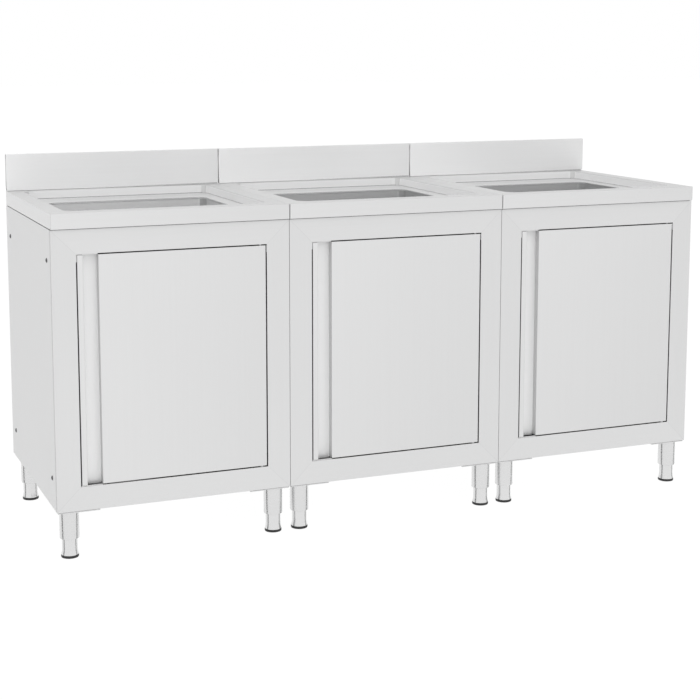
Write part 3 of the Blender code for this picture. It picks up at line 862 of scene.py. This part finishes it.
# ---- Door --------------------------------------------------------------------------------------
def make_door(unit):
    """A folded pan with the finger channel."""
    body = f"{unit}_door"
    low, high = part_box(body)
    channel_left = low.x + GRIP_LIP
    channel_right = channel_left + GRIP_WIDTH
    channel_back = high.y - SHEET
    outline = [
        (low.x, high.y),
        (low.x, low.y),
        (channel_left, low.y),
        (channel_left, channel_back),
        (channel_right, channel_back),
        (channel_right, low.y),
        (high.x, low.y),
        (high.x, high.y),
    ]
    points = fillet(outline, FOLD)
    bm = bmesh.new()
    lower, upper = (
        [bm.verts.new((point.x, point.y, level)) for point in points]
        for level in (low.z, high.z)
    )
    for i in range(1, len(points)):
        bm.faces.new((lower[i - 1], lower[i], upper[i], upper[i - 1]))
    channel = [i for i, p in enumerate(points) if abs(p.y - channel_back) < 1e-6]
    for ends, flipped in ((lower, True), (upper, False)):
        for part in (ends[: channel[0] + 1], ends[channel[-1] :]):
            bm.faces.new(part[::-1] if flipped else part)
    for vertex in lower[channel[0] : channel[-1] + 1]:
        vertex.co.z -= CHANNEL_DROP
    face_outward(bm)
    if bm.faces[0].normal.x > 0:
        bmesh.ops.reverse_faces(bm, faces=bm.faces)
    sharp = math.radians(60)
    folds = [e for e in bm.edges if len(e.link_faces) == 2 and e.calc_face_angle() > sharp]
    bevel_edges(bm, folds, 0.001, 3)
    mesh = mesh_from(bm, "door_pan", sharp_angle=50)
    piece = new_object(f"{unit}_door_pan", mesh, "door", body)
    slots = add_looks(mesh, "return", "channel", "channel_wall")
    # Painted shade on the pan's edges, top and bottom, which face the gaps round the door.
    for face in mesh.polygons:
        at, way = face.center, face.normal
        on_side = min(abs(at.x - low.x), abs(at.x - high.x)) < 0.0002 and abs(way.x) > 0.9
        if on_side or abs(way.z) > 0.9:
            face.material_index = slots["return"]
        # Painted light on the channel's floor and lip side, painted shade on its right wall.
        elif channel_left - FIT < at.x < channel_right + FIT and at.y > low.y + FOLD:
            face.material_index = slots["channel_wall" if way.x < -0.9 else "channel"]
    add_thickness(piece, even=False)
    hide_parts(body)
    make_stiffener(unit, body, (channel_right + high.x) / 2, low, high)


def make_stiffener(unit, body, middle_x, low, high):
    """A folded hat section, spot welded up the middle of the door's back."""
    skin = low.y + SHEET + FIT
    half = [(0.020, 0.014), (0.026, 0.0), (0.045, 0.0)]
    points = fillet([(-across, depth) for across, depth in half[::-1]] + half, 0.002)
    bm = bmesh.new()
    lower, upper = (
        [bm.verts.new((middle_x + point.x, skin + point.y, level)) for point in points]
        for level in (low.z + STIFFENER_MARGIN, high.z - STIFFENER_MARGIN)
    )
    for i in range(1, len(points)):
        bm.faces.new((lower[i], lower[i - 1], upper[i - 1], upper[i]))
    mesh = mesh_from(bm, "door_stiffener", sharp_angle=50)
    add_thickness(new_object(f"{unit}_door_stiffener", mesh, "inner", body), 0.001)


# ---- Screws and welds --------------------------------------------------------------------------
def screw_head_mesh(radius, height):
    """A low domed head with a cross recess, its face up, standing on the level 0."""
    dome = [(0.0, height)]
    for across, up in arc(1.0, 5, 75, 10):
        dome.append((radius * across, height * up))
    dome += [(radius, 0.0), (radius * 0.9, -0.001), (0.0, -0.001)]
    reach, half = 0.62 * radius, 0.13 * radius
    cross = []
    for quarter in range(4):
        turn = Matrix.Rotation(math.radians(90 * quarter), 3, "Z")
        for x, y in ((reach, -half), (reach, half), (half, half)):
            cross.append(turn @ Vector((x, y, 0.0)))
    slots = bmesh.new()
    rings = [
        [slots.verts.new(point + Vector((0, 0, level))) for point in cross]
        for level in (0.35 * height, 2 * height)
    ]
    add_band(slots, *rings)
    for ring in rings:
        slots.faces.new(ring)
    face_outward(slots)
    return cut_away(
        turned_mesh("head", dome, steps=24), mesh_from(slots, "cross_slot"), "screw_head"
    )


def make_panel_screws(unit, head):
    """Two screws near the front and two near the back of each side panel."""
    for side, name in ((-1, "left"), (1, "right")):
        low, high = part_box(f"{unit}_{name}_panel")
        face_x = low.x if side < 0 else high.x
        turn = Matrix.Rotation(math.radians(90 * side), 4, "Y")
        spots = [(face_x, y, z) for z in PANEL_SCREW_HEIGHTS for y in PANEL_SCREW_DEPTHS]
        for count, spot in enumerate(spots, 1):
            spin = Matrix.Rotation(0.7 * count + 0.4 * UNITS.index(unit), 4, "Z")
            place = Matrix.Translation(spot) @ turn @ spin
            name_of_screw = f"{unit}_{name}_panel_screw_{count}"
            new_object(name_of_screw, head, "screw", place=place)


def make_mitre_welds(unit):
    """The dressed weld line on each mitred corner of the front frame."""
    low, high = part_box(f"{unit}_front_frame")
    for side_name, outer_x, way_x in (("left", low.x, 1), ("right", high.x, -1)):
        for level_name, outer_z, way_z in (("bottom", low.z, 1), ("top", high.z, -1)):
            start = Vector((outer_x + way_x * 0.0012, low.y, outer_z + way_z * 0.0012))
            end = Vector(
                (outer_x + way_x * (FRAME_STILE - 0.001), low.y, outer_z + way_z * FRAME_RAIL)
            )
            across = (end - start).cross(Vector((0, 1, 0))).normalized() * WELD_WIDTH / 2
            bm = bmesh.new()
            previous = None
            for i in range(WELD_STEPS + 1):
                middle = start.lerp(end, i / WELD_STEPS)
                wave = 1 + 0.25 * math.sin(2.1 * i)
                row = [
                    bm.verts.new(middle - across * wave),
                    bm.verts.new(middle + Vector((0, -WELD_PROUD, 0))),
                    bm.verts.new(middle + across * wave),
                ]
                if previous:
                    for j in (0, 1):
                        bm.faces.new((previous[j], row[j], row[j + 1], previous[j + 1]))
                previous = row
            face_outward(bm)
            if bm.faces[0].normal.y > 0:
                bmesh.ops.reverse_faces(bm, faces=bm.faces)
            bmesh.ops.translate(bm, vec=(0, -0.00002, 0), verts=bm.verts)
            name = f"{unit}_mitre_weld_{level_name}_{side_name}"
            new_object(name, mesh_from(bm, "mitre_weld"), "weld")


def make_corner_tabs(unit):
    """Tabs that close the gap at three of the door's corners.

    There is an L at the free top corner and a strip below the free bottom corner. At the top
    hinge corner a thin liner lies on the stile, clear of the door's swing.
    """
    frame_low, frame_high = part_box(f"{unit}_front_frame")
    door_low, door_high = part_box(f"{unit}_door")
    opening_left = (frame_low.x + frame_high.x) / 2 - UNIT_PITCH / 2 + FRAME_STILE
    opening_top = frame_high.z - FRAME_RAIL
    opening_right = opening_left + UNIT_PITCH - 2 * FRAME_STILE
    opening_bottom = frame_low.z + FRAME_RAIL
    channel_right = door_low.x + GRIP_LIP + GRIP_WIDTH
    above, below = door_high.z + TAB_CLEARANCE, door_low.z - TAB_CLEARANCE
    beside, tab_low = door_low.x - TAB_CLEARANCE, opening_top - TAB_HEIGHT
    top = [
        (opening_left, opening_top),
        (opening_left, tab_low),
        (beside, tab_low),
        (beside, above),
        (channel_right - SHEET, above),
        (channel_right - SHEET, opening_top),
    ]
    bottom_left = opening_left + 0.002
    bottom = [
        (bottom_left, opening_bottom),
        (channel_right, opening_bottom),
        (channel_right, below),
        (bottom_left, below),
    ]
    for name, outline in (("top", top), ("bottom", bottom)):
        bm = bmesh.new()
        front, back = (
            [bm.verts.new((x, frame_low.y + depth, z)) for x, z in outline]
            for depth in (TAB_SETBACK, TAB_SETBACK + SHEET)
        )
        add_band(bm, front, back)
        bm.faces.new(front)
        bm.faces.new(back)
        face_outward(bm)
        piece = new_object(f"{unit}_corner_tab_{name}", mesh_from(bm, "corner_tab"), "tab")
        add_bevel(piece, 0.0003)
    liner_front = frame_low.y + LINER_SETBACK
    liner = rounded_box(
        "hinge_liner",
        (opening_right - LINER, liner_front, tab_low),
        (opening_right + LINER / 2, liner_front + LINER_WIDTH, door_high.z),
        LINER / 4,
    )
    # Painted light: the liner is paler than the sheet.
    new_object(f"{unit}_corner_tab_hinge", liner, "liner")


# ---- Legs and feet -----------------------------------------------------------------------------
def foot_place(unit, corner):
    low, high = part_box(f"{unit}_{corner}_foot")
    return (low.x + high.x) / 2, (low.y + high.y) / 2, 0.0


def make_leg(unit, corner, head):
    """A round tube with a turned end plug, on a plate held by four screws."""
    low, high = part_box(f"{unit}_{corner}_leg")
    place = foot_place(unit, corner)
    radius = LEG_RADIUS
    plate_bottom = high.z - PLATE_THICKNESS
    tube = [
        (radius - LEG_WALL, plate_bottom),
        (radius, plate_bottom),
        (radius, low.z + 0.0016),
        (radius - 0.0004, low.z + 0.0006),
        (radius - LEG_WALL, low.z + 0.0002),
    ]
    name = f"{unit}_{corner}_leg"
    piece = new_object(f"{name}_tube", turned_mesh("leg_tube", tube, place), "leg")
    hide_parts(name)
    plug_radius = radius - LEG_WALL - FIT / 2
    plug = [
        (STEM_RADIUS + FIT, low.z),
        (STEM_RADIUS + FIT, low.z + 0.006),
        (plug_radius, low.z + 0.006),
        (plug_radius, low.z + 0.0008),
        (radius - LEG_WALL - 0.001, low.z),
    ]
    new_object(f"{name}_plug", turned_mesh("leg_plug", plug, place), "foot")
    plate_low = (low.x, low.y, plate_bottom)
    plate_high = (high.x, high.y, high.z - PLATE_JOINT)
    new_object(f"{name}_plate", rounded_box("leg_plate", plate_low, plate_high, 0.0009), "plate")
    inset, clear_of_tube = 0.011, radius + 0.005
    upside_down = Matrix.Rotation(math.pi, 4, "X")
    spots = [
        (x, y, plate_bottom)
        for x in (low.x + inset, high.x - inset)
        for y in (low.y + inset, high.y - inset)
    ]
    for count, spot in enumerate(spots, 1):
        if math.hypot(spot[0] - place[0], spot[1] - place[1]) < clear_of_tube:
            continue
        screw_name = f"{unit}_{corner}_plate_screw_{count}"
        screw_place = Matrix.Translation(spot) @ upside_down
        new_object(screw_name, head, "pin", place=screw_place)


def make_foot(unit, corner):
    """The foot's steel body, its black ring on the floor, and the threaded stem in the leg."""
    body = f"{unit}_{corner}_foot"
    low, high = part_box(body)
    leg_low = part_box(f"{unit}_{corner}_leg")[0]
    place = foot_place(unit, corner)
    ring = (high.x - low.x) / 2
    top = leg_low.z - FIT
    steel_body = [
        (0.0, top),
        (FOOT_BODY_RADIUS - 0.0008, top),
        (FOOT_BODY_RADIUS, top - 0.0008),
        (FOOT_BODY_RADIUS, 0.020),
        (FOOT_BODY_RADIUS + 0.0004, 0.0155),
        (FOOT_BODY_RADIUS + 0.0013, 0.0115),
        (ring - 0.0005, FOOT_RING_HEIGHT + 0.0012),
        (ring - 0.0005, FOOT_RING_HEIGHT + FIT),
        (0.0, FOOT_RING_HEIGHT + FIT),
    ]
    mesh = turned_mesh("foot_body", steel_body, place)
    piece = new_object(f"{body}_body", mesh, "foot", body)
    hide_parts(body)
    rubber_ring = [
        (0.0, FOOT_RING_HEIGHT),
        (ring - 0.0008, FOOT_RING_HEIGHT),
        (ring - 0.0002, FOOT_RING_HEIGHT - 0.0004),
        (ring, FOOT_RING_HEIGHT - 0.0012),
        (ring, 0.0016),
        (ring - 0.0006, 0.0004),
        (ring - 0.0016, 0.0),
        (0.0, 0.0),
    ]
    mesh = turned_mesh("foot_ring", rubber_ring, place)
    new_object(f"{body}_ring", mesh, "rubber", body)
    mesh = stem_mesh(place, top, high.z)
    new_object(f"{body}_stem", mesh, "thread", body)


def stem_mesh(place, bottom, top):
    """A stem with a helical thread, as one strip wound round the axis."""
    bm = bmesh.new()
    turns = int((top - bottom) / THREAD_PITCH) - 1
    crest, root = STEM_RADIUS, STEM_RADIUS - THREAD_DEPTH
    profile = (
        (root, 0.0),
        (crest, 0.4 * THREAD_PITCH),
        (crest, 0.6 * THREAD_PITCH),
        (root, THREAD_PITCH),
    )
    rows = []
    for i in range(turns * THREAD_STEPS + 1):
        angle = 2 * math.pi * i / THREAD_STEPS
        rise = bottom + THREAD_PITCH * i / THREAD_STEPS
        across = Vector((math.cos(angle), math.sin(angle), 0.0))
        row = []
        for radius, step in profile:
            point = Vector(place) + across * radius + Vector((0, 0, rise + step))
            row.append(bm.verts.new(point))
        rows.append(row)
    for before, after in zip(rows, rows[1:]):
        for j in range(3):
            bm.faces.new((before[j], after[j], after[j + 1], before[j + 1]))
    bmesh.ops.remove_doubles(bm, verts=bm.verts, dist=0.00001)
    return mesh_from(bm, "foot_stem", sharp_angle=25)


# ---- CAD nodes that stay -----------------------------------------------------------------------
def dress_cad_nodes(unit):
    """Materials and small edge radii for the CAD pieces whose shape is right as it is."""
    looks = {
        # The side panels between cabinets take painted shade.
        "left_panel": "side" if unit == UNITS[0] else "hidden",
        "right_panel": "side" if unit == UNITS[-1] else "hidden",
        "back_panel": "inner",
        "floor_panel": "inner",
        "front_frame": "frame",
        "upper_hinge_pin": "pin",
        "lower_hinge_pin": "pin",
    }
    for piece, look in looks.items():
        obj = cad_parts[f"{unit}_{piece}"]
        obj.data.materials.clear()
        obj.data.materials.append(MATERIALS[look])
        obj.data.shade_smooth()
        obj.data.set_sharp_from_angle(angle=math.radians(30))
        if not piece.endswith("pin"):
            add_bevel(obj, 0.0005)


# ---- Studio ------------------------------------------------------------------------------------
def make_floor():
    """A wide pale floor that fades into the white surroundings."""
    bm = bmesh.new()
    bmesh.ops.create_grid(bm, x_segments=1, y_segments=1, size=FLOOR_SIZE)
    mesh = mesh_from(bm, "floor")
    floor = add_to_scene("floor", mesh)
    floor.location.z = cad_low.z - FLOOR_DROP
    floor.visible_glossy = False  # the steel reflects the cove, not the paper it stands on
    material = bpy.data.materials.new("floor_paint")
    material.use_nodes = True
    shader = material.node_tree.nodes["Principled BSDF"]
    shader.inputs["Base Color"].default_value = (0.06, 0.06, 0.06, 1.0)
    shader.inputs["Roughness"].default_value = 1.0
    shader.inputs["Specular IOR Level"].default_value = 0.0
    shader.inputs["Emission Color"].default_value = (1.0, 1.0, 1.0, 1.0)
    shader.inputs["Emission Strength"].default_value = 0.97
    mesh.materials.append(material)


def make_world():
    """A white cove all round, with a dark flag standing off each end of the row."""
    world = bpy.data.worlds.new("studio")
    world.use_nodes = True
    bpy.context.scene.world = world
    tree = world.node_tree
    background = tree.nodes["Background"]
    direction = node(tree, "ShaderNodeTexCoord").outputs["Generated"]
    split = node(tree, "ShaderNodeSeparateXYZ", None, {"Vector": direction})
    flags = 0.0
    for place, half_width in FLAGS:
        towards = node(
            tree,
            "ShaderNodeVectorMath",
            {"operation": "DOT_PRODUCT"},
            {0: direction, 1: Vector(place).normalized()},
        ).outputs["Value"]
        flat = maths(tree, "SUBTRACT", 1.0, maths(tree, "POWER", split.outputs[2], 2.0))
        level = maths(tree, "DIVIDE", towards, maths(tree, "SQRT", flat))
        flag = node(
            tree,
            "ShaderNodeMapRange",
            {"interpolation_type": "SMOOTHSTEP"},
            {
                "Value": level,
                "From Min": math.cos(1.6 * half_width),
                "From Max": math.cos(0.5 * half_width),
            },
        ).outputs[0]
        flags = maths(tree, "MAXIMUM", flags, flag)
    seen = node(tree, "ShaderNodeLightPath").outputs["Is Camera Ray"]
    hidden = maths(tree, "MULTIPLY", flags, maths(tree, "SUBTRACT", 1.0, seen))
    light = maths(tree, "MULTIPLY_ADD", hidden, -FLAG_DARKNESS, 1.0)
    tree.links.new(light, background.inputs["Strength"])
    background.inputs["Color"].default_value = (1.0, 1.0, 1.0, 1.0)


def make_lights():
    """One wide soft box above and in front of the left end."""
    light = bpy.data.lights.new("key", "AREA")
    light.shape = "RECTANGLE"
    light.size, light.size_y = KEY_SIZE
    light.energy = KEY_ENERGY
    lamp = add_to_scene("key", light)
    lamp.location = KEY_PLACE
    lamp.rotation_mode = "QUATERNION"
    lamp.rotation_quaternion = (Vector(KEY_TARGET) - lamp.location).to_track_quat("-Z", "Y")


def make_camera():
    camera = add_to_scene("camera", bpy.data.cameras.new("camera"))
    camera.location = CAMERA_PLACE
    camera.rotation_euler = (math.radians(90 + CAMERA_PITCH), 0.0, math.radians(-CAMERA_YAW))
    camera.data.lens = CAMERA_LENS
    camera.data.sensor_width = 36.0
    camera.data.shift_x, camera.data.shift_y = CAMERA_SHIFT
    camera.data.clip_end = 200.0
    bpy.context.scene.camera = camera


# ---- Assembly ----------------------------------------------------------------------------------
make_camera()
MATERIALS = make_materials()
panel_screw = screw_head_mesh(*PANEL_SCREW)
plate_screw = screw_head_mesh(*PLATE_SCREW)

for unit in UNITS:
    make_worktop(unit)
    make_bowl(unit)
    make_drain(unit)
    make_backsplash(unit)
    make_door(unit)
    make_mitre_welds(unit)
    make_corner_tabs(unit)
    make_panel_screws(unit, panel_screw)
    for corner in CORNERS:
        make_leg(unit, corner, plate_screw)
        make_foot(unit, corner)
    dress_cad_nodes(unit)

make_floor()
make_world()
make_lights()
bpy.context.scene.view_settings.view_transform = "Standard"
